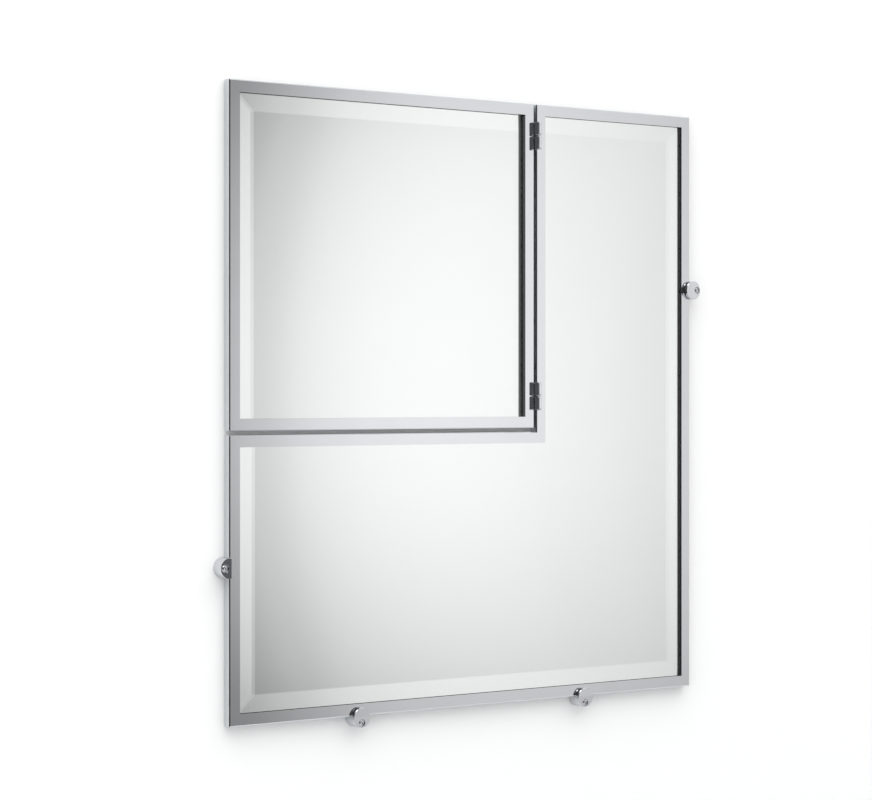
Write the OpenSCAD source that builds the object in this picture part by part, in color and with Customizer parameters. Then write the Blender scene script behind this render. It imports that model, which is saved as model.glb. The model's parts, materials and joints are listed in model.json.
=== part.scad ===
// Framed wall mirror in two parts: a fixed L-shaped mirror, and a smaller mirror that is hinged to it and
// fills its upper left corner. Millimetres. The wall is the plane y = 0, the mirror faces -Y, +Z is up, and
// the origin is on the wall midway between the two lower wall screws.

/* [Mirror] */
// Overall width of the frame
mirror_w = 711.2; // [600:0.1:900]
// Overall height of the frame
mirror_h = 762; // [650:1:1000]
// Clear space between the wall and the back of the frame
wall_gap = 1.5; // [1.5:0.1:3]

/* [Frame bars] */
// Width of a bar's front face
bar_w = 14.3; // [12:0.1:18]
// Depth of a bar from front to back
bar_d = 12; // [11:0.1:16]
// Chamfer along the front outer edge of a bar
arris = 1.2; // [0.2:0.1:1.5]
// Width of the rebate that takes the glass
rebate_w = 5; // [4:0.1:6]
// How far the fixed glass stands behind the front of its frame
fixed_recess = 1.1; // [0.8:0.1:2.5]
// How far the door's glass stands behind the front of its frame
door_recess = 3.9; // [0.8:0.1:4]

/* [Door] */
// Width of the hinged mirror
door_w = 449.5; // [380:0.5:480]
// Height of the hinged mirror
door_h = 414; // [340:1:450]
// Gap between the door and the post at its hinge side
side_gap = 3.5; // [3.4:0.1:5]
// Gap between the door and the rail below it
below_gap = 5; // [3:0.1:8]
// Thickness of the rubber bumpers on the door's back
bumper_t = 1.4; // [0.8:0.1:1.4]

/* [Glass] */
// Thickness of the glass
glass_t = 6; // [5:0.1:6.2]
// Thickness of the glass at a bevelled edge
edge_t = 5.3; // [4:0.1:5.5]
// Width of the bevel
bevel_w = 25.4; // [15:0.1:30]
// How far the glass goes in under the lip
glass_cover = 4.5; // [3:0.1:4.8]
// Thickness of the silver and its backing paint
coat_t = 0.2; // [0.1:0.05:0.3]

/* [Hinges] */
// Height of a hinge, its two knuckles together
hinge_h = 36; // [30:1:50]
// Width of a knuckle seen from the front
knuckle_w = 4.9; // [4:0.1:5.2]
// How far the knuckles stand out in front of the frame
knuckle_proud = 10.4; // [9:0.1:12]
// Radius of a knuckle's corners seen from the front
knuckle_corner = 2; // [1:0.1:2.2]
// Radius of a knuckle's corners seen from the side
knuckle_nose = 2.8; // [1:0.1:3]
// Radius of a knuckle's upright edges
knuckle_edge = 1.3; // [0.5:0.1:2]
// Thickness of the tongue that joins a knuckle to its bar
tongue_t = 1.4; // [1:0.1:1.5]
// Radius of the pin
pin_r = 1.2; // [1:0.1:1.5]
// Running clearance between the pin and the door's knuckle
pin_play = 0.05; // [0.02:0.01:0.1]
// Height of each hinge's middle from the door's nearer edge
hinge_inset = 40.5; // [25:0.5:80]

/* [Wall clips] */
// Diameter of a clip
clip_d = 24.5; // [20:0.5:30]
// How far a clip stands out in front of the frame
clip_proud = 5.8; // [4:0.1:8]
// Distance from a clip's axis to the wall of its notch
notch_wall = 1.5; // [0:0.1:3]
// Thickness of the nylon pad in the notch
pad_t = 0.5; // [0.3:0.1:1]
// Slope of the outer half of a clip's face, in degrees
clip_slope = 5; // [2:0.5:8]
// Distance from a clip's axis to its screw
screw_offset = 6.5; // [5:0.1:7]
// Outer radius of the wall screws' threads
screw_r = 2.1; // [1.8:0.1:2.5]
// Length of a wall screw behind the wall's face
screw_reach = 30; // [20:1:50]
// Distance between the two lower clips
clip_spacing = 346; // [250:1:400]
// Height of the left clip above the mirror's lower edge
left_clip_z = 187; // [100:1:290]
// Height of the right clip above the mirror's lower edge
right_clip_z = 530; // [400:1:650]

/* [Hidden] */
$fn = 48;
// How far a cut runs past the face it starts from
past = 1;

// Where the frame stands
x_left = -mirror_w / 2;
x_right = mirror_w / 2;
z_low = screw_offset + notch_wall + pad_t;
z_high = z_low + mirror_h;
y_back = -wall_gap;
y_front = -wall_gap - bar_d;

// The L's inner corner, and the door
x_post = x_left + door_w + side_gap;
z_rail = z_high - door_h - below_gap;
x_door = x_left + door_w;
z_door = z_high - door_h;

// Outlines seen from the front, counterclockwise, moved inwards by d, or by e where the L and the door meet
function fixed_outline(d, e = undef) =
    let (m = is_undef(e) ? d : e) [
        [x_left + d, z_low + d], [x_right - d, z_low + d], [x_right - d, z_high - d],
        [x_post + m, z_high - d], [x_post + m, z_rail - m], [x_left + d, z_rail - m]
    ];
function door_outline(d, e = undef) =
    let (m = is_undef(e) ? d : e) [
        [x_left + d, z_door + m], [x_door - m, z_door + m], [x_door - m, z_high - d], [x_left + d, z_high - d]
    ];
function next(i, n) = (i + 1) % n;
function edge_len(ring, i) = norm(ring[next(i, len(ring))] - ring[i]);
function edge_angle(ring, i) =
    let (v = ring[next(i, len(ring))] - ring[i]) atan2(v[1], v[0]);

// The L has one corner that turns the other way
reflex_corner = 4;
function is_reflex(ring, i) = len(ring) == 6 && i == reflex_corner;

// Glass, silvering and board. Only the edges on the outside of the whole mirror are bevelled
FIXED_BEVELS = [0, 1, 2, 5];
DOOR_BEVELS = [2, 3];
glass_edge = bar_w - glass_cover;
glass_play = 0.05;
coat_gap = 0.05;
board_play = 0.5;
function silver_y(recess) = y_front + recess + glass_t + coat_gap;

// A lip reaches back to the glass, which is further back in the bevel
function lip_t(recess, i, bevels) =
    recess - glass_play + len(search(i, bevels)) * (glass_t - edge_t) * (bevel_w - glass_cover) / bevel_w;

// Corner plates, retainer tabs and their screws
plate_t = 1;
plate_inset = 1;
plate_w = 7;
plate_len = 30;
plate_hole = 20;
tab_len = 16;
tab_w = 13;
back_screw_r = 1.2;
back_screw_len = 6;
back_head_r = 2.2;
back_head_t = 0.45;
hole_play = 0.1;
screw_line = plate_inset + plate_w / 2;
turned_in = plate_inset + plate_w;
// Middle of each tab along its edge, from the edge's first corner
fixed_tabs = [[95, 355, 615], [140, 330, 640], [129], [110, 300], [150, 350], [60, 260]];
door_tabs = [[130, 320], [120, 290], [130, 320], [120, 290]];

// Bumpers on the door's free stile
bumper_r = 3.5;
bumper_z = [z_door + 200, z_high - 70];

// Hinges: the axis is in front of the gap between the door and the post, in the middle of the knuckles
knuckle_off = 0.8;
knuckle_d = knuckle_proud - knuckle_off;
axis_x = (x_door + x_post) / 2;
axis_y = y_front - knuckle_off - knuckle_d / 2;
knuckle_gap = 0.3;
tongue_in = 8;
pin_inset = 3;
leaf_screw_r = 0.8;
leaf_head_r = 1.5;
leaf_head_t = 0.8;
leaf_screw_len = 5;
leaf_screw_y = 4.6;
leaf_screw_pitch = 9;
hinge_z = [z_high - hinge_inset, z_door + hinge_inset];

// Clips: the notch opens towards the mirror, the screw is on the other side
clip_r = clip_d / 2;
clip_depth = wall_gap + bar_d + clip_proud;
clip_axis_out = notch_wall + pad_t;
clip_edge = 0.5;
slope_start = 1.5;
bore_play = 0.2;
pad_inset = 1;
pad_lip = 7;
head_r = 4.4;
head_t = 2.4;
counterbore_r = 4.9;
counterbore_d = 2.6;
hex_r = 1.6;
hex_d = 1.4;
shank_r = 1.6;
screw_tip = 4;
tip_r = 0.3;
// Axis and turn of each clip: 0 holds the lower edge, and the turn is clockwise from the front
clips = [
    [x_left - clip_axis_out, z_low + left_clip_z, 90],
    [x_right + clip_axis_out, z_low + right_clip_z, -90],
    [-clip_spacing / 2, z_low - clip_axis_out, 0],
    [clip_spacing / 2, z_low - clip_axis_out, 0]
];

// Puts children at a place on an edge of an outline: x runs along the edge, z goes inwards
module on_edge(ring, i, along = 0) {
    translate([ring[i][0], 0, ring[i][1]]) rotate([0, -edge_angle(ring, i), 0])
        translate([along, 0, 0]) children();
}

// A sheet with an outline in x and z, from y1 at the front back to y2
module sheet(ring, y1, y2) {
    translate([0, y2, 0]) rotate([90, 0, 0]) linear_extrude(y2 - y1) polygon(ring);
}

// A round bar along y
module rod(r, y1, y2) {
    translate([0, y2, 0]) rotate([90, 0, 0]) cylinder(r = r, h = y2 - y1);
}

// Section of a bar as depth and width, with the rebate behind its lip
module bar_section(lip) {
    polygon([
        [y_front + arris, 0], [y_front, arris], [y_front, bar_w], [y_front + lip, bar_w],
        [y_front + lip, bar_w - rebate_w], [y_back, bar_w - rebate_w], [y_back, 0]
    ]);
}

// Screws of the corner plates along edge i, and the screws of its tabs
function corner_spot(ring, i) = is_reflex(ring, i) ? plate_hole - turned_in : plate_hole;
function edge_spots(ring, i, tabs) =
    concat(corner_spot(ring, i), edge_len(ring, i) - corner_spot(ring, next(i, len(ring))), tabs[i]);

// Sweeps a section of depth and width along edge i of a strip of width w, and mitres both ends
module mitred(outer, inner, i, w) {
    j = next(i, len(outer));
    wider = (w + past) / w;
    intersection() {
        on_edge(outer, i, -w) rotate([90, 0, 90]) linear_extrude(edge_len(outer, i) + 2 * w) children();
        sheet([
            inner[i] + wider * (outer[i] - inner[i]), inner[j] + wider * (outer[j] - inner[j]),
            outer[j] + wider * (inner[j] - outer[j]), outer[i] + wider * (inner[i] - outer[i])
        ], y_front - past, y_back + past);
    }
}

// One bar along edge i, with blind holes in its back
module frame_bar(outer, inner, i, lip, tabs) {
    color("silver") difference() {
        mitred(outer, inner, i, bar_w) bar_section(lip);
        for (s = edge_spots(outer, i, tabs)) on_edge(outer, i, s) translate([0, 0, screw_line])
            rod(back_screw_r, y_back - back_screw_len, y_back + past);
        children();
    }
}

module fixed_bar(i) {
    lip = lip_t(fixed_recess, i, FIXED_BEVELS);
    frame_bar(fixed_outline(0), fixed_outline(bar_w), i, lip, fixed_tabs) children();
}

module door_bar(i) {
    lip = lip_t(door_recess, i, DOOR_BEVELS);
    frame_bar(door_outline(0), door_outline(bar_w), i, lip, door_tabs) children();
}

// What a bevel takes off the glass at one edge, as depth and width. y is the front of the glass
module bevel_section(y) {
    rise = glass_t - edge_t;
    polygon([
        [y + rise * (1 + past / bevel_w), -past], [y - past, bevel_w * (1 + past / rise)], [y - past, -past]
    ]);
}

// Glass with bevels along some edges. The bevels go from the edge ring to the flat ring, and both rings run
// past the square edges
module bevelled_glass(ring, edge_ring, flat_ring, bevels, recess) {
    y = y_front + recess;
    color("lightcyan") difference() {
        sheet(ring, y, y + glass_t);
        for (i = bevels) mitred(edge_ring, flat_ring, i, bevel_w) bevel_section(y);
    }
}

module silvering(ring, recess) {
    color("gainsboro") sheet(ring, silver_y(recess), silver_y(recess) + coat_t);
}

module backing_board(ring, recess) {
    color("saddlebrown") sheet(ring, silver_y(recess) + coat_t, y_back);
}

// Flat angle plates over the mitres on the frame's back
module corner_plates(ring) {
    n = len(ring);
    color("lightslategray") for (i = [0:n - 1]) {
        before = (i + n - 1) % n;
        start = is_reflex(ring, i) ? -turned_in : plate_inset;
        difference() {
            union() {
                on_edge(ring, i, start) translate([0, y_back, plate_inset])
                    cube([plate_len, plate_t, plate_w]);
                on_edge(ring, before, edge_len(ring, before) - start - plate_len)
                    translate([0, y_back, plate_inset]) cube([plate_len, plate_t, plate_w]);
            }
            for (s = [[i, corner_spot(ring, i)], [before, edge_len(ring, before) - corner_spot(ring, i)]])
                on_edge(ring, s[0], s[1]) translate([0, 0, screw_line])
                    rod(back_screw_r + hole_play, y_back - past, y_back + plate_t + past);
        }
    }
}

// Small plates that hold the board in the rebate
module retainer_tabs(ring, tabs) {
    color("lightslategray") for (i = [0:len(ring) - 1]) for (s = tabs[i]) on_edge(ring, i, s)
        difference() {
            translate([-tab_len / 2, y_back, plate_inset]) cube([tab_len, plate_t, tab_w]);
            translate([0, 0, screw_line])
                rod(back_screw_r + hole_play, y_back - past, y_back + plate_t + past);
        }
}

module back_screws(ring, tabs) {
    y_plate = y_back + plate_t;
    color("gray") for (i = [0:len(ring) - 1]) for (s = edge_spots(ring, i, tabs))
        on_edge(ring, i, s) translate([0, 0, screw_line]) {
            rod(back_screw_r, y_back - back_screw_len, y_plate);
            rod(back_head_r, y_plate, y_plate + back_head_t);
        }
}

// The fixed L
module bottom_rail() fixed_bar(0);
module right_stile() fixed_bar(1);
module top_rail() fixed_bar(2);
module hinge_post() fixed_bar(3) leaf_screw_holes(1);
module inner_rail() fixed_bar(4);
module left_stile() fixed_bar(5);

module fixed_glass() {
    edge_ring = fixed_outline(glass_edge, glass_edge - past);
    flat_ring = fixed_outline(glass_edge + bevel_w, glass_edge - past);
    bevelled_glass(fixed_outline(glass_edge), edge_ring, flat_ring, FIXED_BEVELS, fixed_recess);
}

module fixed_silvering() silvering(fixed_outline(glass_edge), fixed_recess);
module fixed_backing_board() backing_board(fixed_outline(bar_w - rebate_w + board_play), fixed_recess);
module fixed_corner_plates() corner_plates(fixed_outline(0));
module fixed_retainer_tabs() retainer_tabs(fixed_outline(0), fixed_tabs);
module fixed_back_screws() back_screws(fixed_outline(0), fixed_tabs);

// The hinged mirror
module door_bottom_rail() door_bar(0);
module door_hinge_stile() door_bar(1) leaf_screw_holes(-1);
module door_top_rail() door_bar(2);
module door_free_stile() door_bar(3);

module door_glass() {
    edge_ring = door_outline(glass_edge, glass_edge - past);
    flat_ring = door_outline(glass_edge + bevel_w, glass_edge - past);
    bevelled_glass(door_outline(glass_edge), edge_ring, flat_ring, DOOR_BEVELS, door_recess);
}

module door_silvering() silvering(door_outline(glass_edge), door_recess);
module door_backing_board() backing_board(door_outline(bar_w - rebate_w + board_play), door_recess);
module door_corner_plates() corner_plates(door_outline(0));
module door_retainer_tabs() retainer_tabs(door_outline(0), door_tabs);
module door_back_screws() back_screws(door_outline(0), door_tabs);

// Two stick-on bumpers at the free side, which meet the wall
module door_bumpers() {
    color("black") for (z = bumper_z)
        translate([x_left + screw_line, 0, z]) rod(bumper_r, y_back, y_back + bumper_t);
}

// Hinges. side is 1 for the half on the post and -1 for the half on the door
module at_hinge(k) {
    translate([axis_x, axis_y, hinge_z[k]]) children();
}

// Middle of each knuckle: the lower one is on the post, the upper one on the door
function knuckle_z(side) = -side * (hinge_h + knuckle_gap) / 4;

// Puts children at the screws of a tongue: z runs into the bar from its side
module leaf_screw_spots(side) {
    for (z = [-leaf_screw_pitch / 2, leaf_screw_pitch / 2])
        translate([side * side_gap / 2, y_front - axis_y + leaf_screw_y, knuckle_z(side) + z])
            mirror([side < 0 ? 1 : 0, 0, 0]) rotate([0, 90, 0]) children();
}

// Countersunk screw, flush with the tongue's face
module leaf_screw() {
    shank = tongue_t - leaf_head_t + leaf_screw_len;
    translate([0, 0, -tongue_t]) cylinder(r1 = leaf_head_r, r2 = leaf_screw_r, h = leaf_head_t);
    translate([0, 0, leaf_head_t - tongue_t]) cylinder(r = leaf_screw_r, h = shank);
}

module leaf_screw_holes(side) {
    for (k = [0:1]) at_hinge(k) leaf_screw_spots(side)
        translate([0, 0, -past]) cylinder(r = leaf_screw_r, h = leaf_screw_len + past);
}

// A rounded rectangle about the origin
module rounded_plate(w, h, r) {
    square([w - 2 * r, h], center = true);
    square([w, h - 2 * r], center = true);
    for (x = [r - w / 2, w / 2 - r]) for (y = [r - h / 2, h / 2 - r]) translate([x, y]) circle(r = r);
}

// One half of a hinge: a knuckle that stands out in front of the gap, and its tongue against the bar's side
module hinge_leaf(k, side, bore_r) {
    knuckle_h = (hinge_h - knuckle_gap) / 2;
    tongue_h = knuckle_h - 2 * knuckle_corner;
    tongue_x = side > 0 ? side_gap / 2 - tongue_t : -side_gap / 2;
    pin_end = hinge_h / 2 - pin_inset;
    color("gainsboro") at_hinge(k) difference() {
        union() {
            intersection() {
                translate([0, knuckle_d / 2, knuckle_z(side)]) rotate([90, 0, 0])
                    linear_extrude(knuckle_d) rounded_plate(knuckle_w, knuckle_h, knuckle_corner);
                translate([0, 0, knuckle_z(side) - knuckle_h / 2])
                    linear_extrude(knuckle_h) rounded_plate(knuckle_w, knuckle_d, knuckle_edge);
                translate([-knuckle_w / 2, 0, knuckle_z(side)]) rotate([90, 0, 90])
                    linear_extrude(knuckle_w) rounded_plate(knuckle_d, knuckle_h, knuckle_nose);
            }
            translate([tongue_x, 0, knuckle_z(side) - tongue_h / 2])
                cube([tongue_t, knuckle_d / 2 + knuckle_off + tongue_in, tongue_h]);
        }
        translate([0, 0, side > 0 ? -pin_end : 0])
            cylinder(r = bore_r, h = pin_end + (side > 0 ? 0 : knuckle_gap));
        leaf_screw_spots(side) leaf_screw();
    }
}

module hinge_pin(k) {
    pin_end = hinge_h / 2 - pin_inset;
    color("silver") at_hinge(k) translate([0, 0, -pin_end]) cylinder(r = pin_r, h = 2 * pin_end);
}

module leaf_screws(side) {
    color("silver") for (k = [0:1]) at_hinge(k) leaf_screw_spots(side) leaf_screw();
}

module upper_hinge_fixed_leaf() hinge_leaf(0, 1, pin_r);
module upper_hinge_door_leaf() hinge_leaf(0, -1, pin_r + pin_play);
module upper_hinge_pin() hinge_pin(0);
module lower_hinge_fixed_leaf() hinge_leaf(1, 1, pin_r);
module lower_hinge_door_leaf() hinge_leaf(1, -1, pin_r + pin_play);
module lower_hinge_pin() hinge_pin(1);
module fixed_leaf_screws() leaf_screws(1);
module door_leaf_screws() leaf_screws(-1);

// Wall clips. Inside at_clip the mirror's edge is above the clip's axis
module at_clip(k) {
    translate([clips[k][0], 0, clips[k][1]]) rotate([0, clips[k][2], 0]) children();
}

// A turned disc with a notch for the frame, and a face that falls away on the screw's side
module wall_clip(k) {
    big = clip_d;
    color("silver") at_clip(k) difference() {
        union() {
            rod(clip_r, clip_edge - clip_depth, 0);
            translate([0, clip_edge - clip_depth, 0]) rotate([90, 0, 0])
                cylinder(r1 = clip_r, r2 = clip_r - clip_edge, h = clip_edge);
        }
        translate([-big, y_front - pad_t, notch_wall]) cube([2 * big, bar_d + pad_t, big]);
        translate([0, -clip_depth, slope_start]) rotate([clip_slope, 0, 0])
            translate([-big, -big, -2 * big]) cube([2 * big, big, 2 * big]);
        translate([0, 0, -screw_offset]) {
            rod(screw_r + bore_play, -clip_depth - past, past);
            rod(counterbore_r, -clip_depth - past, counterbore_d - clip_depth);
        }
    }
}

// Angle of nylon between the clip and the frame
module clip_pads() {
    half = sqrt(pow(clip_r, 2) - pow(notch_wall, 2)) - pad_inset;
    color("whitesmoke") for (k = [0:3]) at_clip(k) translate([-half, y_front - pad_t, notch_wall]) {
        cube([2 * half, bar_d + pad_t, pad_t]);
        translate([half / 2, 0, 0]) cube([half, pad_t, pad_lip]);
    }
}

// Button head screw with a hexagon socket, a plain shank in the clip, and a threaded part with a point
module wall_screw(k) {
    seat = counterbore_d - clip_depth;
    dome_r = (pow(head_r, 2) + pow(head_t, 2)) / (2 * head_t);
    color("silver") at_clip(k) translate([0, 0, -screw_offset]) {
        difference() {
            translate([0, seat, 0]) rotate([90, 0, 0]) rotate_extrude() intersection() {
                translate([0, head_t - dome_r]) circle(r = dome_r, $fn = 96);
                square([head_r, head_t]);
            }
            translate([0, seat - head_t + hex_d, 0]) rotate([90, 0, 0])
                cylinder(r = hex_r, h = head_t, $fn = 6);
        }
        rod(shank_r, seat - (head_t - hex_d) / 2, screw_reach - screw_tip);
        rod(screw_r, 0, screw_reach - screw_tip);
        translate([0, screw_reach, 0]) rotate([90, 0, 0]) cylinder(r1 = tip_r, r2 = screw_r, h = screw_tip);
    }
}

module left_clip() wall_clip(0);
module right_clip() wall_clip(1);
module lower_left_clip() wall_clip(2);
module lower_right_clip() wall_clip(3);
module left_wall_screw() wall_screw(0);
module right_wall_screw() wall_screw(1);
module lower_left_wall_screw() wall_screw(2);
module lower_right_wall_screw() wall_screw(3);

top_rail();
right_stile();
bottom_rail();
left_stile();
inner_rail();
hinge_post();
fixed_glass();
fixed_silvering();
fixed_backing_board();
fixed_corner_plates();
fixed_retainer_tabs();
fixed_back_screws();
door_top_rail();
door_hinge_stile();
door_bottom_rail();
door_free_stile();
door_glass();
door_silvering();
door_backing_board();
door_corner_plates();
door_retainer_tabs();
door_back_screws();
door_bumpers();
upper_hinge_fixed_leaf();
upper_hinge_door_leaf();
upper_hinge_pin();
lower_hinge_fixed_leaf();
lower_hinge_door_leaf();
lower_hinge_pin();
fixed_leaf_screws();
door_leaf_screws();
left_clip();
right_clip();
lower_left_clip();
lower_right_clip();
clip_pads();
left_wall_screw();
right_wall_screw();
lower_left_wall_screw();
lower_right_wall_screw();
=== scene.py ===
import json
import math

import bmesh
import bpy
from mathutils import Matrix, Vector


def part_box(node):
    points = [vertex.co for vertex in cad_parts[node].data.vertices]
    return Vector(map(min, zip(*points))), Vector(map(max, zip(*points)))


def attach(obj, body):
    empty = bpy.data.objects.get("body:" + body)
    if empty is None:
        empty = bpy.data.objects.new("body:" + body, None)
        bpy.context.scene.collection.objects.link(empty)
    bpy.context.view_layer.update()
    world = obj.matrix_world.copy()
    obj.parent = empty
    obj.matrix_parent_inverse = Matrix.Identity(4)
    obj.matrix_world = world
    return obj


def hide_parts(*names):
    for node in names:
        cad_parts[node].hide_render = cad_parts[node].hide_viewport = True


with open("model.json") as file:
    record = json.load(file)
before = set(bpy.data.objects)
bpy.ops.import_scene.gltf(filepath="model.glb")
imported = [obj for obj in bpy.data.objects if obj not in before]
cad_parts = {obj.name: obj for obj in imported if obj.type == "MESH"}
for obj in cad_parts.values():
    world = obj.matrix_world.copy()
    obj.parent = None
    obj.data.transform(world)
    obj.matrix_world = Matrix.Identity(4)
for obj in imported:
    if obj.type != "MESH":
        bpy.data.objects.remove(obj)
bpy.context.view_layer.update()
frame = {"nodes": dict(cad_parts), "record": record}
nodes = frame["nodes"]
slotOf = {part["node"]: part["material_slot"] for part in frame["record"]["subparts"]}
bodyOf = {node: body for body, held in frame["record"]["behaviour"]["bodies"].items() for node in held}
mm = 0.001
print("frame loaded with", len(nodes), "nodes")


def addNode(tree, kind, inputs=None, **settings):
    node = tree.nodes.new(kind)
    for name, value in settings.items():
        setattr(node, name, value)
    for name, value in (inputs or {}).items():
        if isinstance(value, bpy.types.NodeSocket):
            tree.links.new(value, node.inputs[name])
        else:
            node.inputs[name].default_value = value
    return node


def mathNode(tree, operation, *values, clamp=False):
    node = addNode(tree, "ShaderNodeMath", dict(enumerate(values)), operation=operation, use_clamp=clamp)
    return node.outputs[0]


def smoothStep(tree, value, start, end, low=0.0, high=1.0):
    node = addNode(tree, "ShaderNodeMapRange", {
        "Value": value, "From Min": start, "From Max": end, "To Min": low, "To Max": high,
    }, interpolation_type="SMOOTHSTEP")
    return node.outputs["Result"]


def curveNode(tree, angle, points):
    start, end = points[0][0], points[-1][0]
    share = addNode(tree, "ShaderNodeMapRange", {"Value": angle, "From Min": start, "From Max": end})
    node = addNode(tree, "ShaderNodeFloatCurve", {"Value": share.outputs["Result"]})
    curve = node.mapping.curves[0]
    while len(curve.points) < len(points):
        curve.points.new(0.5, 0.5)
    for point, (degrees, level) in zip(curve.points, points):
        point.location = ((degrees - start) / (end - start), level)
    node.mapping.update()
    return node.outputs["Value"]


def newGroup(name, inputs, outputs):
    group = bpy.data.node_groups.new(name, "ShaderNodeTree")
    for socketName, kind, value in inputs:
        socket = group.interface.new_socket(socketName, in_out="INPUT", socket_type=kind)
        socket.default_value = value
    for socketName, kind in outputs:
        group.interface.new_socket(socketName, in_out="OUTPUT", socket_type=kind)
    return group, addNode(group, "NodeGroupInput").outputs, addNode(group, "NodeGroupOutput").inputs


def placeGroup(tree, group, inputs):
    return addNode(tree, "ShaderNodeGroup", inputs, node_tree=group).outputs


def newMaterial(name, sockets):
    material = bpy.data.materials.new(name)
    material.use_nodes = True
    tree = material.node_tree
    tree.nodes.clear()
    shader = addNode(tree, "ShaderNodeBsdfPrincipled", sockets)
    addNode(tree, "ShaderNodeOutputMaterial", {"Surface": shader.outputs["BSDF"]})
    return material, tree, shader


# camera: from the left, level, at the height of the mirror's middle
cameraView = {
    "place": (-1.8036, -2.5055, 0.4025),
    "turn": 34.985,     # degrees to the right of square on
    "lens": 100.98,
    "sensor": 36,
    "shiftY": -0.0093,  # the horizon is a little above the picture's middle
}
camera = bpy.data.objects.new("camera", bpy.data.cameras.new("camera"))
bpy.context.scene.collection.objects.link(camera)
camera.location = cameraView["place"]
camera.rotation_euler = (math.radians(90), 0, -math.radians(cameraView["turn"]))
camera.data.lens = cameraView["lens"]
camera.data.sensor_width = cameraView["sensor"]
camera.data.shift_y = cameraView["shiftY"]
bpy.context.scene.camera = camera
bpy.context.scene.view_settings.view_transform = "Standard"
print("camera placed")


# room light: what the metal and the mirrors show, mostly a wide pale panel, and what lights the wall
roomLight = {
    "tint": (1.01, 0.985, 0.993),
    # the panel's level at each degree of azimuth to the right of straight out from the wall
    "panel": [(10, 0.05), (14, 0.06), (20, 0.14), (26, 0.32), (29, 0.43), (29.6, 0.495), (30.2, 0.59),
              (30.5, 0.645), (30.9, 0.688), (31.4, 0.766), (31.8, 0.835), (32.8, 0.928), (34, 0.981),
              (35, 0.997), (36, 0.988), (37.6, 0.929), (38.8, 0.881), (40.1, 0.813), (41.4, 0.775),
              (50, 0.8)],
    "panelStrength": 1.045,
    "panelLean": 0.025,     # degrees of azimuth for each square degree of elevation
    "leanLimit": 60.0,      # square degrees
    # the share of that level at each degree of elevation
    "height": [(-90, 0.35), (-30.6, 0.5), (-14.4, 0.65), (-7.25, 0.675), (-6.5, 0.735), (-5.8, 0.787),
               (-4.4, 0.873), (-3, 0.938), (-1.6, 0.98), (0.5, 1.0), (2.63, 0.981), (4.03, 0.957),
               (5.44, 0.915), (6.48, 0.86), (7.2, 0.835), (12.6, 0.85), (27, 0.9), (90, 0.9)],
    "behind": 0.72,         # what the back of the mirror faces
    "behindFrom": (60.0, 110.0),  # degrees to either side where it takes over from the panel
    # smaller lights that the metal and the mirrors show: each one's level and, in degrees, its middle,
    # how far from it the light starts to fade, and how far from it the light ends
    "window": {"level": 0.95, "azimuth": (-1.0, 2.0, 18.0), "elevation": (0.0, 0.0, 24.0)},
    "lamp": {"level": 3.0, "azimuth": (-32.0, 14.0, 30.0), "elevation": (58.0, 9.0, 18.0)},
    "strip": {"level": 0.055, "azimuth": (-36.8, 1.3, 3.2), "elevation": (0.0, 10.0, 30.0)},
    "aboveFrom": (16.5, 68.0),  # degrees of elevation where the light from above starts and is full
    "aboveFade": (72.0, 80.0),  # where it stops lighting the wall
    "aboveShown": 0.35,     # its level as the metal and the mirrors show it
    "above": 2.45,          # its level on the wall
    "leftFrom": (20.0, 60.0),   # degrees to the left where the light from there starts and is full
    "fromLeft": 1.15,       # its level on the wall
    "ambient": 0.77,        # light on the wall from all round
    "seen": 1.0,            # what the camera sees beside the wall
}


def spreadLight(tree, angle, spread):
    middle, fadeFrom, fadeTo = spread
    away = mathNode(tree, "ABSOLUTE", mathNode(tree, "SUBTRACT", angle, middle))
    return smoothStep(tree, away, fadeFrom, fadeTo, 1.0, 0.0)


def makeShownLight(tree, azimuth, elevation, above):
    lean = mathNode(tree, "MINIMUM", mathNode(tree, "MULTIPLY", elevation, elevation), roomLight["leanLimit"])
    leaned = mathNode(tree, "SUBTRACT", azimuth, mathNode(tree, "MULTIPLY", lean, roomLight["panelLean"]))
    panel = curveNode(tree, leaned, roomLight["panel"])
    panel = mathNode(tree, "MULTIPLY", panel, roomLight["panelStrength"])
    side = smoothStep(tree, mathNode(tree, "ABSOLUTE", azimuth), *roomLight["behindFrom"])
    around = addNode(tree, "ShaderNodeMix", {"Factor": side, "A": panel, "B": roomLight["behind"]})
    height = curveNode(tree, elevation, roomLight["height"])
    shown = mathNode(tree, "MULTIPLY", around.outputs["Result"], height)
    shown = mathNode(tree, "MULTIPLY_ADD", above, roomLight["aboveShown"], shown)
    for name in ("window", "lamp", "strip"):
        light = roomLight[name]
        patch = mathNode(tree, "MULTIPLY", spreadLight(tree, azimuth, light["azimuth"]),
                         spreadLight(tree, elevation, light["elevation"]))
        shown = mathNode(tree, "MULTIPLY_ADD", patch, light["level"], shown)
    return shown


def makeWallLight(tree, azimuth, elevation, above):
    overhead = smoothStep(tree, elevation, *roomLight["aboveFade"], 1.0, 0.0)
    band = mathNode(tree, "MULTIPLY", above, overhead)
    lighting = mathNode(tree, "MULTIPLY_ADD", band, roomLight["above"], roomLight["ambient"])
    atLeft = smoothStep(tree, mathNode(tree, "MULTIPLY", azimuth, -1.0), *roomLight["leftFrom"])
    return mathNode(tree, "MULTIPLY_ADD", atLeft, roomLight["fromLeft"], lighting)


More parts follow.
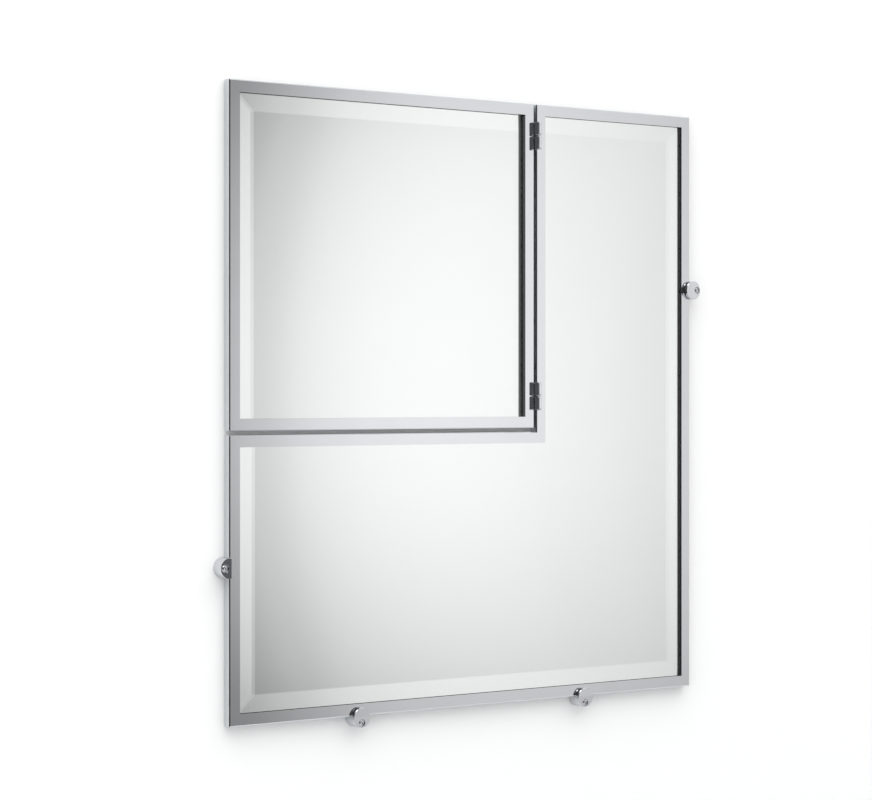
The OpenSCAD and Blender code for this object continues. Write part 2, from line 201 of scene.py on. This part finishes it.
def makeRoomLight():
    world = bpy.data.worlds.new("room")
    bpy.context.scene.world = world
    world.use_nodes = True
    tree = world.node_tree
    tree.nodes.clear()
    direction = addNode(tree, "ShaderNodeTexCoord").outputs["Generated"]
    split = addNode(tree, "ShaderNodeSeparateXYZ", {"Vector": direction}).outputs
    towardsRoom = mathNode(tree, "MULTIPLY", split["Y"], -1.0)
    degree = 180 / math.pi
    azimuth = mathNode(tree, "MULTIPLY", mathNode(tree, "ARCTAN2", split["X"], towardsRoom), degree)
    elevation = mathNode(tree, "MULTIPLY", mathNode(tree, "ARCSINE", split["Z"]), degree)
    above = smoothStep(tree, elevation, *roomLight["aboveFrom"])
    shown = makeShownLight(tree, azimuth, elevation, above)
    lighting = makeWallLight(tree, azimuth, elevation, above)
    path = addNode(tree, "ShaderNodeLightPath").outputs
    mirrored = mathNode(tree, "MAXIMUM", path["Is Glossy Ray"], path["Is Transmission Ray"])
    light = addNode(tree, "ShaderNodeMix", {"Factor": mirrored, "A": lighting, "B": shown})
    strength = addNode(tree, "ShaderNodeMix", {
        "Factor": path["Is Camera Ray"], "A": light.outputs["Result"], "B": roomLight["seen"]})
    background = addNode(tree, "ShaderNodeBackground", {
        "Color": (*roomLight["tint"], 1), "Strength": strength.outputs["Result"]})
    addNode(tree, "ShaderNodeOutputWorld", {"Surface": background.outputs["Background"]})


makeRoomLight()
print("room light made")


# wall and floor, which are only the stage
wallPlane = {
    "x": (-2.0, 2.0), "z": (-0.9, 2.4), "y": 0.3 * mm, "roughness": 0.9,
    "colour": (0.87, 0.892, 0.885, 1),
    "shown": (0.74, 0.755, 0.76, 1),  # painted shade: a darker copy of the wall's colour, which the metal and every other ray but the camera's see
}
floorPlane = {
    "x": (-2.0, 2.0), "y": (-2.4, 0.9), "z": -0.9, "roughness": 0.8,
    "colour": (0.3, 0.305, 0.31, 1),
}


def makePlane(name, corners, material):
    mesh = bpy.data.meshes.new(name)
    mesh.from_pydata(corners, [], [(0, 1, 2, 3)])
    mesh.materials.append(material)
    plane = bpy.data.objects.new(name, mesh)
    bpy.context.scene.collection.objects.link(plane)


def makeWall():
    material, tree, shader = newMaterial("wallPaintWithReflectedShade", {
        "Roughness": wallPlane["roughness"], "Specular IOR Level": 0.0})
    path = addNode(tree, "ShaderNodeLightPath").outputs
    # painted shade: the camera sees the wall's own colour, every other ray sees the darker copy in "shown"
    paintAndReflectedShade = addNode(tree, "ShaderNodeMix", {"A": wallPlane["shown"], "B": wallPlane["colour"]},
                    data_type="RGBA")
    tree.links.new(path["Is Camera Ray"], paintAndReflectedShade.inputs["Factor"])
    tree.links.new(paintAndReflectedShade.outputs[2], shader.inputs["Base Color"])
    # from behind, the wall is clear for a ray and for all that follows from it
    backface = addNode(tree, "ShaderNodeNewGeometry").outputs["Backfacing"]
    clear = mathNode(tree, "ADD", backface, path["Transparent Depth"], clamp=True)
    seeThrough = addNode(tree, "ShaderNodeBsdfTransparent").outputs["BSDF"]
    mixer = addNode(tree, "ShaderNodeMixShader", {"Fac": clear, 1: shader.outputs["BSDF"], 2: seeThrough})
    tree.links.new(mixer.outputs["Shader"], tree.get_output_node("ALL").inputs["Surface"])
    (x1, x2), (z1, z2), y = wallPlane["x"], wallPlane["z"], wallPlane["y"]
    makePlane("wall", [(x1, y, z1), (x2, y, z1), (x2, y, z2), (x1, y, z2)], material)


def makeFloor():
    material = newMaterial("floorPaint", {
        "Base Color": floorPlane["colour"], "Roughness": floorPlane["roughness"]})[0]
    (x1, x2), (y1, y2), z = floorPlane["x"], floorPlane["y"], floorPlane["z"]
    makePlane("floor", [(x1, y1, z), (x2, y1, z), (x2, y2, z), (x1, y2, z)], material)


makeWall()
makeFloor()
print("wall and floor made")


# effects that more than one material uses: a slow drift of colour, and patches and lines of polish
polishMarks = {
    "patch": (0.42, 0.68),  # between these the noise turns from smooth to hazy
    "patchShare": 0.65, "lineShare": 0.35, "lineScale": 900.0,
}


def makeDriftGroup():
    group, given, result = newGroup("colourDrift", [
        ("Color", "NodeSocketColor", (0.5, 0.5, 0.5, 1)), ("Amount", "NodeSocketFloat", 0.05),
        ("Scale", "NodeSocketFloat", 40.0)], [("Color", "NodeSocketColor")])
    place = addNode(group, "ShaderNodeTexCoord").outputs["Object"]
    noise = addNode(group, "ShaderNodeTexNoise", {
        "Vector": place, "Scale": given["Scale"], "Detail": 4.0, "Roughness": 0.55})
    offMiddle = mathNode(group, "SUBTRACT", noise.outputs["Fac"], 0.5)
    swing = mathNode(group, "MULTIPLY", offMiddle, given["Amount"])
    factor = mathNode(group, "ADD", mathNode(group, "MULTIPLY", swing, 2.0), 1.0)
    scaled = addNode(group, "ShaderNodeVectorMath", {0: given["Color"], "Scale": factor}, operation="SCALE")
    group.links.new(scaled.outputs["Vector"], result["Color"])
    return group


def makePolishGroup():
    group, given, result = newGroup("polishMarks", [
        ("Smooth", "NodeSocketFloat", 0.03), ("Hazy", "NodeSocketFloat", 0.08),
        ("Scale", "NodeSocketFloat", 60.0), ("Stretch", "NodeSocketVector", (1, 1, 1))],
        [("Roughness", "NodeSocketFloat"), ("Height", "NodeSocketFloat")])
    place = addNode(group, "ShaderNodeTexCoord").outputs["Object"]
    haze = addNode(group, "ShaderNodeTexNoise", {
        "Vector": place, "Scale": given["Scale"], "Detail": 3.0, "Roughness": 0.5})
    stretched = addNode(group, "ShaderNodeVectorMath", {0: place, 1: given["Stretch"]}, operation="MULTIPLY")
    lines = addNode(group, "ShaderNodeTexNoise", {
        "Vector": stretched.outputs["Vector"], "Scale": polishMarks["lineScale"], "Detail": 2.0})
    patch = smoothStep(group, haze.outputs["Fac"], *polishMarks["patch"])
    fine = mathNode(group, "MULTIPLY", lines.outputs["Fac"], polishMarks["lineShare"])
    mask = mathNode(group, "ADD", mathNode(group, "MULTIPLY", patch, polishMarks["patchShare"]), fine)
    rough = addNode(group, "ShaderNodeMix", {"Factor": mask, "A": given["Smooth"], "B": given["Hazy"]})
    group.links.new(rough.outputs["Result"], result["Roughness"])
    group.links.new(lines.outputs["Fac"], result["Height"])
    return group


driftGroup = makeDriftGroup()
polishGroup = makePolishGroup()


def driftColour(tree, shader, settings):
    drift = placeGroup(tree, driftGroup, {
        "Color": (*settings["colour"], 1), "Amount": settings["drift"], "Scale": settings["driftScale"]})
    tree.links.new(drift["Color"], shader.inputs["Base Color"])
    return drift["Color"]


def polishSurface(tree, shader, settings):
    polish = placeGroup(tree, polishGroup, {
        "Smooth": settings["smooth"], "Hazy": settings["hazy"], "Scale": settings["hazeScale"],
        "Stretch": settings["stretch"]})
    tree.links.new(polish["Roughness"], shader.inputs["Roughness"])
    bump = addNode(tree, "ShaderNodeBump", {
        "Height": polish["Height"], "Distance": settings["relief"], "Strength": 1.0})
    tree.links.new(bump.outputs["Normal"], shader.inputs["Normal"])
    return bump.outputs["Normal"]


# materials: "sockets" holds what is the same all over the surface
polishedChrome = {
    "sockets": {"Metallic": 1.0},
    "colour": (0.765, 0.79, 0.808), "drift": 0.02, "driftScale": 25.0,
    "smooth": 0.03, "hazy": 0.055, "hazeScale": 45.0, "stretch": (1, 1, 1), "relief": 0.0,
}
zincPlate = {
    "sockets": {"Metallic": 1.0},
    "colour": (0.62, 0.635, 0.64), "drift": 0.12, "driftScale": 120.0,
    "smooth": 0.28, "hazy": 0.48, "hazeScale": 150.0, "stretch": (1, 1, 0.08), "relief": 0.02 * mm,
}
padNylon = {
    "sockets": {"Metallic": 0.0, "Specular IOR Level": 0.4},
    "colour": (0.78, 0.78, 0.75), "drift": 0.04, "driftScale": 90.0,
    "smooth": 0.42, "hazy": 0.6, "hazeScale": 200.0, "stretch": (1, 1, 1), "relief": 0.02 * mm,
}
bumperRubber = {
    "sockets": {"Metallic": 0.0, "Specular IOR Level": 0.3},
    "colour": (0.022, 0.022, 0.023), "drift": 0.25, "driftScale": 200.0,
    "smooth": 0.6, "hazy": 0.85, "hazeScale": 250.0, "stretch": (1, 1, 1), "relief": 0.05 * mm,
}
fibreBoard = {
    "sockets": {"Metallic": 0.0, "Specular IOR Level": 0.3},
    "colour": (0.21, 0.115, 0.062), "drift": 0.22, "driftScale": 60.0,
    "smooth": 0.55, "hazy": 0.8, "hazeScale": 90.0, "stretch": (1, 1, 1), "relief": 0.03 * mm,
    "flecks": (0.32, 0.19, 0.11), "fleckScale": 420.0, "fleckTwist": 2.5,
    "fleckFrom": (0.55, 0.75), "fleckShare": 0.6,
    "meshPitch": 1.4 * mm, "meshDepth": 0.12 * mm,
}
clearGlass = {
    "sockets": {"Metallic": 0.0, "Roughness": 0.0, "IOR": 1.52, "Transmission Weight": 1.0},
    "colour": (0.975, 1.0, 0.99), "drift": 0.004, "driftScale": 4.0,
}
silverCoat = {
    "sockets": {"Metallic": 1.0, "Roughness": 0.0},
    "colour": (0.955, 0.96, 0.955), "drift": 0.006, "driftScale": 3.0,
}


def makeClean(name, settings):
    material, tree, shader = newMaterial(name, settings["sockets"])
    driftColour(tree, shader, settings)
    return material


def makePolished(name, settings):
    material, tree, shader = newMaterial(name, settings["sockets"])
    driftColour(tree, shader, settings)
    polishSurface(tree, shader, settings)
    return material


def makeBoard(name, settings):
    material, tree, shader = newMaterial(name, settings["sockets"])
    colour = driftColour(tree, shader, settings)
    normal = polishSurface(tree, shader, settings)
    place = addNode(tree, "ShaderNodeTexCoord").outputs["Object"]
    flecks = addNode(tree, "ShaderNodeTexNoise", {
        "Vector": place, "Scale": settings["fleckScale"], "Detail": 3.0,
        "Distortion": settings["fleckTwist"]})
    amount = smoothStep(tree, flecks.outputs["Fac"], *settings["fleckFrom"], 0.0, settings["fleckShare"])
    blend = addNode(tree, "ShaderNodeMix", {"A": colour, "B": (*settings["flecks"], 1)}, data_type="RGBA")
    tree.links.new(amount, blend.inputs["Factor"])
    tree.links.new(blend.outputs[2], shader.inputs["Base Color"])
    # the print of the press's wire mesh
    split = addNode(tree, "ShaderNodeSeparateXYZ", {"Vector": place}).outputs
    turns = 2 * math.pi / settings["meshPitch"]
    ridges = [mathNode(tree, "SINE", mathNode(tree, "MULTIPLY", split[axis], turns)) for axis in ("X", "Z")]
    weave = mathNode(tree, "MULTIPLY", *ridges)
    mesh = addNode(tree, "ShaderNodeBump", {
        "Height": weave, "Distance": settings["meshDepth"], "Normal": normal})
    tree.links.new(mesh.outputs["Normal"], shader.inputs["Normal"])
    return material


materials = {
    "polished_chrome": makePolished("polishedChrome", polishedChrome),
    "bevelled_glass": makeClean("clearGlass", clearGlass),
    "silver_coat": makeClean("silverCoat", silverCoat),
    "hardboard": makeBoard("fibreBoard", fibreBoard),
    "zinc_steel": makePolished("zincPlate", zincPlate),
    "nylon_pad": makePolished("padNylon", padNylon),
    "bumper_rubber": makePolished("bumperRubber", bumperRubber),
}
for name, piece in nodes.items():
    piece.data.materials.clear()
    piece.data.materials.append(materials[slotOf[name]])
print("materials made:", len(materials))


# wall screws have threads and hex sockets, small ones cross recesses; depths run along +Y
wallScrew = {
    "around": 48, "headR": 4.4 * mm, "headT": 2.4 * mm, "rim": 0.3 * mm, "domeSteps": 12,
    "socketR": 1.6 * mm, "socketDepth": 1.4 * mm, "socketChamfer": 0.18 * mm,
    "shankR": 1.6 * mm, "coreR": 1.55 * mm, "crestR": 2.1 * mm, "tipR": 0.25 * mm,
    "fillet": 0.15 * mm, "corner": 0.1 * mm,
    "pitch": 1.8 * mm, "rowsPerTurn": 9,
    "crest": 0.12, "flank": 0.24,  # shares of the pitch
    "seat": -16.7 * mm, "shankTo": -0.3 * mm, "threadFrom": 0.0, "taperFrom": 26.0 * mm, "end": 30.0 * mm,
}
crossRecess = {"arm": 0.62, "halfWidth": 0.17, "floor": 0.5}   # shares of the head's radius
backScrew = {
    "countersunk": False, "headR": 2.2 * mm, "headT": 0.45 * mm, "edge": 0.14 * mm, "depth": 0.4 * mm,
    "shankR": 1.2 * mm, "length": 7.0 * mm,
}
leafScrew = {
    "countersunk": True, "headR": 1.5 * mm, "headT": 0.8 * mm, "edge": 0.04 * mm, "depth": 0.45 * mm,
    "shankR": 0.8 * mm, "length": 6.4 * mm,
}
crossScrews = {   # each group, and the way that its screws point, in degrees from straight into the wall
    "fixed_back_screws": (backScrew, 180), "door_back_screws": (backScrew, 180),
    "fixed_leaf_screws": (leafScrew, -90), "door_leaf_screws": (leafScrew, 90),
}
screwTurn = 0.7      # radians from one screw's cross to the next one's
smoothBelow = 32.0   # degrees


def clampShare(value):
    return min(max(value, 0.0), 1.0)


def polar(radius, angle, depth):
    return (radius * math.cos(angle), depth, radius * math.sin(angle))


def circleRing(angles, radius, depth):
    return [polar(radius, a, depth) for a in angles]


def hexRing(angles, radius, depth):
    ring = []
    for a in angles:
        off = a % (math.pi / 3) - math.pi / 6
        ring.append(polar(radius * math.cos(math.pi / 6) / math.cos(off), a, depth))
    return ring


def crossRing(angles, headR, share, depth):
    arm, half = crossRecess["arm"] * share, crossRecess["halfWidth"] * share
    ring = []
    for a in angles:
        off = abs((a + math.pi / 4) % (math.pi / 2) - math.pi / 4)
        reach = headR * min(arm / math.cos(off), half / max(math.sin(off), 1e-6))
        ring.append(polar(reach, a, depth))
    return ring


def crossAngles():
    corner = math.atan2(crossRecess["halfWidth"], crossRecess["arm"])
    between = [math.radians(degrees) for degrees in (26, 45, 64)]
    quarter = [0.0, corner, *between, math.pi / 2 - corner]
    return [a + turn * math.pi / 2 for turn in range(4) for a in quarter]


def skinRings(bm, rings):
    made = [[bm.verts.new(point) for point in ring] for ring in rings]
    count = len(made[0])
    for near, far in zip(made, made[1:]):
        for k in range(count):
            n = (k + 1) % count
            bm.faces.new((near[k], near[n], far[n], far[k]))
    for ring in (made[0], made[-1]):
        hub = bm.verts.new(sum((v.co for v in ring), Vector()) / count)
        for k in range(count):
            bm.faces.new((hub, ring[k], ring[(k + 1) % count]))


def finishPiece(bm, name, replaced):
    slot, body = slotOf[replaced], bodyOf[replaced]
    bmesh.ops.recalc_face_normals(bm, faces=bm.faces)
    mesh = bpy.data.meshes.new(name)
    bm.to_mesh(mesh)
    bm.free()
    mesh.materials.append(materials[slot])
    piece = bpy.data.objects.new(name, mesh)
    bpy.context.scene.collection.objects.link(piece)
    for face in mesh.polygons:
        face.use_smooth = True
    mesh.set_sharp_from_angle(angle=math.radians(smoothBelow))
    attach(piece, body)
    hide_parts(replaced)


def threadRadius(angle, depth):
    phase = (depth / wallScrew["pitch"] - angle / (2 * math.pi)) % 1.0
    rise = 1.0 - clampShare((abs(phase - 0.5) - wallScrew["crest"] / 2) / wallScrew["flank"])
    start = clampShare((depth - wallScrew["threadFrom"]) / wallScrew["pitch"])
    left = min((wallScrew["end"] - depth) / (wallScrew["end"] - wallScrew["taperFrom"]), 1.0)
    core = wallScrew["coreR"] * left + wallScrew["tipR"] * (1 - left)
    # towards the tip the thread gets lower, and runs out over the last quarter of the taper
    height = (wallScrew["crestR"] - wallScrew["coreR"]) * (0.25 + 0.75 * left) * min(left * 4, 1)
    return core + height * rise * start


def wallScrewRings():
    angles = [2 * math.pi * k / wallScrew["around"] for k in range(wallScrew["around"])]
    seat, headR, headT, rim = (wallScrew[key] for key in ("seat", "headR", "headT", "rim"))
    socketR, chamfer, shankR = (wallScrew[key] for key in ("socketR", "socketChamfer", "shankR"))
    fillet, corner, steps = (wallScrew[key] for key in ("fillet", "corner", "domeSteps"))
    domeR = (headR ** 2 + headT ** 2) / (2 * headT)

    def domeDepth(radius):
        return seat - headT + domeR - math.sqrt(domeR ** 2 - radius ** 2)

    floor = seat - headT + wallScrew["socketDepth"]
    mouthR = socketR + chamfer
    innerR, outerR = mouthR * 1.03, headR - rim * 0.4
    dome = [innerR + (outerR - innerR) * k / steps for k in range(1, steps + 1)]
    profile = [
        (circleRing, socketR * 0.2, floor + fillet),
        (hexRing, socketR * 0.94, floor),
        (hexRing, socketR, floor - corner),
        (hexRing, socketR, domeDepth(mouthR) + chamfer),
        (hexRing, mouthR, domeDepth(mouthR)),
        *[(circleRing, radius, domeDepth(radius)) for radius in dome],
        (circleRing, headR, seat - rim * 0.6),
        (circleRing, headR, seat - corner * 0.8),
        (circleRing, headR - corner, seat),
        (circleRing, shankR + fillet, seat),
        (circleRing, shankR, seat + fillet),
        (circleRing, shankR, wallScrew["shankTo"]),
    ]
    rings = [shape(angles, radius, depth) for shape, radius, depth in profile]
    threaded = wallScrew["end"] - wallScrew["threadFrom"]
    rows = round(threaded / wallScrew["pitch"] * wallScrew["rowsPerTurn"])
    for k in range(rows + 1):
        depth = wallScrew["threadFrom"] + threaded * k / rows
        rings.append([polar(threadRadius(a, depth), a, depth) for a in angles])
    return rings


def makeWallScrew(node):
    lo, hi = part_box(node)
    bm = bmesh.new()
    skinRings(bm, wallScrewRings())
    middle = Vector(((lo.x + hi.x) / 2, 0, (lo.z + hi.z) / 2))
    bmesh.ops.translate(bm, verts=bm.verts, vec=middle)
    finishPiece(bm, node + "Threaded", node)


def solidBoxes(node):
    # the lowest and highest corner of each separate solid in a node, from left to right
    bm = bmesh.new()
    bm.from_mesh(nodes[node].data)
    bmesh.ops.remove_doubles(bm, verts=bm.verts, dist=0.002 * mm)
    left, boxes = set(bm.verts), []
    while left:
        solid, toVisit = [], [left.pop()]
        while toVisit:
            vert = toVisit.pop()
            solid.append(vert.co.copy())
            for link in vert.link_edges:
                other = link.other_vert(vert)
                if other in left:
                    left.remove(other)
                    toVisit.append(other)
        lo = Vector([min(co[k] for co in solid) for k in range(3)])
        hi = Vector([max(co[k] for co in solid) for k in range(3)])
        boxes.append((lo, hi))
    bm.free()
    return sorted(boxes, key=lambda box: tuple(box[0]))


def crossScrewRings(settings):
    angles = crossAngles()
    headR, headT, edge = settings["headR"], settings["headT"], settings["edge"]
    shankR, length = settings["shankR"], settings["length"]
    if settings["countersunk"]:
        profile = [(headR - edge, 0.0), (headR, edge)]
    else:
        profile = [(headR - edge * 2, 0.0), (headR - edge * 0.5, edge * 0.5), (headR, edge * 1.4),
                   (headR, headT)]
    profile += [(shankR, headT), (shankR, length - shankR * 0.4), (shankR * 0.5, length)]
    recess = [crossRing(angles, headR, crossRecess["floor"], settings["depth"]),
              crossRing(angles, headR, 1.0, 0.0)]
    return recess + [circleRing(angles, radius, depth) for radius, depth in profile]


def makeCrossScrews(node, settings, degrees):
    turned = Matrix.Rotation(math.radians(degrees), 4, "Z")
    direction = turned @ Vector((0, 1, 0))
    bm = bmesh.new()
    for number, (lo, hi) in enumerate(solidBoxes(node)):
        start = (lo + hi) / 2
        for k in range(3):
            if abs(direction[k]) > 0.5:
                start[k] = lo[k] if direction[k] > 0 else hi[k]
        spin = Matrix.Rotation(number * screwTurn, 4, "Y")
        one = bmesh.new()
        skinRings(one, crossScrewRings(settings))
        bmesh.ops.transform(one, matrix=Matrix.Translation(start) @ turned @ spin, verts=one.verts)
        mesh = bpy.data.meshes.new("one")
        one.to_mesh(mesh)
        one.free()
        bm.from_mesh(mesh)
        bpy.data.meshes.remove(mesh)
    finishPiece(bm, node + "Crossed", node)


for side in ("left", "right", "lower_left", "lower_right"):
    makeWallScrew(side + "_wall_screw")
for node, (settings, degrees) in crossScrews.items():
    makeCrossScrews(node, settings, degrees)
print("screws made")


# the sharp edges of the metal are broken, wider on the hinges and widest on the clips
brokenEdge = {
    "leafWidth": 0.25 * mm, "clipWidth": 0.5 * mm, "width": 0.12 * mm,
    "segments": 3, "angle": 25.0, "weld": 0.005 * mm,
}


def edgeWidth(node):
    if node.endswith("_leaf"):
        return brokenEdge["leafWidth"]
    return brokenEdge["clipWidth"] if node.endswith("_clip") else brokenEdge["width"]


def breakEdges(piece, width):
    weld = piece.modifiers.new("joined", "WELD")
    weld.merge_threshold = brokenEdge["weld"]
    bevel = piece.modifiers.new("broken edges", "BEVEL")
    bevel.width = width
    bevel.segments = brokenEdge["segments"]
    bevel.limit_method = "ANGLE"
    bevel.angle_limit = math.radians(brokenEdge["angle"])
    bevel.harden_normals = True


for name, piece in nodes.items():
    if slotOf[name] in ("polished_chrome", "zinc_steel"):
        breakEdges(piece, edgeWidth(name))
print("edges broken")
